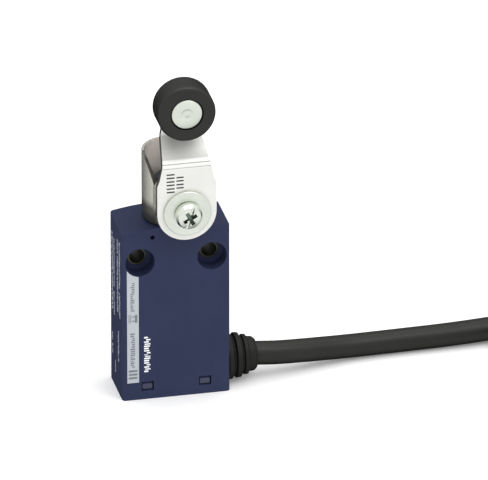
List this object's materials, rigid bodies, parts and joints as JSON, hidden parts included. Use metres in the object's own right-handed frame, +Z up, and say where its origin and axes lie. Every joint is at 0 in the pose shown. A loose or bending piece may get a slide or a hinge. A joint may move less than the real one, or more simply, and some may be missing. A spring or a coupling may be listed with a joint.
{
  "type": "limit switch",
  "caption": "Compact limit switch: upright moulded body, steel roller lever on a turret head, side cable with bare ends.",
  "frame": {"origin": "centre of the body's bottom face, on the surface it stands on", "axes": "+Z up along the body towards the lever, +Y towards the back face that lies on a mounting panel, +X towards the cable"},
  "size_m": [0.2378, 0.0605, 0.0949],
  "materials": {
    "blue_plastic": "moulded, fine satin grain",
    "dark_plastic": "moulded, satin",
    "white_plastic": "moulded, satin",
    "smoke_plastic": "smooth",
    "label_film": "printed film",
    "black_sheath": "matt soft sheath",
    "black_rubber": "moulded, matt",
    "roller_plastic": "turned thermoplastic, semi-gloss",
    "polished_steel": "bright nickel-like finish",
    "zinc_plate": "bright zinc plate",
    "bronze": "sintered bearing metal",
    "contact_brass": "stamped strip",
    "core_black": "smooth insulation",
    "core_white": "smooth insulation",
    "core_brown": "smooth insulation",
    "core_blue": "smooth insulation"
  },
  "bodies": {
    "housing": {"body_shell": "blue_plastic", "base_cover": "blue_plastic", "fixing_sleeve_left": "polished_steel", "fixing_sleeve_right": "polished_steel", "front_label": "label_film", "operating_head": "dark_plastic", "head_bracket": "polished_steel", "front_bush": "bronze", "rear_bush": "bronze", "plunger_guide": "white_plastic", "plunger_return_spring": "polished_steel", "contact_block_housing": "white_plastic", "contact_block_cover": "smoke_plastic", "fixed_contact_nc_left": "contact_brass", "fixed_contact_nc_right": "contact_brass", "fixed_contact_no_left": "contact_brass", "fixed_contact_no_right": "contact_brass", "carrier_spring": "polished_steel", "cable_gland": "black_rubber", "cable_inner_end": "black_sheath", "cable_clamp": "dark_plastic", "inner_core_black": "core_black", "inner_core_white": "core_white", "inner_core_brown": "core_brown", "inner_core_blue": "core_blue", "cable": "black_sheath", "cable_hank": "black_sheath", "cable_tie": "white_plastic", "cable_tail": "black_sheath", "free_core_black": "core_black", "free_core_white": "core_white", "free_core_brown": "core_brown", "free_core_blue": "core_blue"},
    "lever_arm": {"lever": "polished_steel", "index_washer": "polished_steel", "flat_washer": "zinc_plate", "lever_screw": "zinc_plate", "lever_shaft": "polished_steel", "cam": "polished_steel", "roller_pin": "polished_steel"},
    "roller_wheel": {"roller": "roller_plastic", "roller_bush": "bronze"},
    "plunger_rod": {"plunger": "white_plastic"},
    "carrier_unit": {"contact_carrier": "white_plastic", "bridge_nc": "contact_brass", "bridge_no": "contact_brass"}
  },
  "joints": [
    {"name": "lever_swing", "type": "hinge", "parent": "housing", "child": "lever_arm", "pos_m": [0.002, 0, 0.0576], "axis": [0, 1, 0], "range_deg": [-70, 70], "stiffness_Nm_per_rad": 0.08},
    {"name": "roller_spin", "type": "hinge", "parent": "lever_arm", "child": "roller_wheel", "pos_m": [0.002, 0, 0.0869], "axis": [0, 1, 0], "continuous": true},
    {"name": "plunger_slide", "type": "slide", "parent": "housing", "child": "plunger_rod", "axis": [0, 0, -1], "range_m": [0, 0.0016], "stiffness_N_per_m": 400, "springref_m": -0.002, "deforming": ["plunger_return_spring"]},
    {"name": "carrier_slide", "type": "slide", "parent": "housing", "child": "carrier_unit", "axis": [0, 0, -1], "range_m": [0, 0.0016], "stiffness_N_per_m": 150, "springref_m": -0.002, "deforming": ["carrier_spring"]}
  ],
  "couplings": [
    {"joint": "carrier_slide", "follows": "plunger_slide", "ratio": 1}
  ]
}
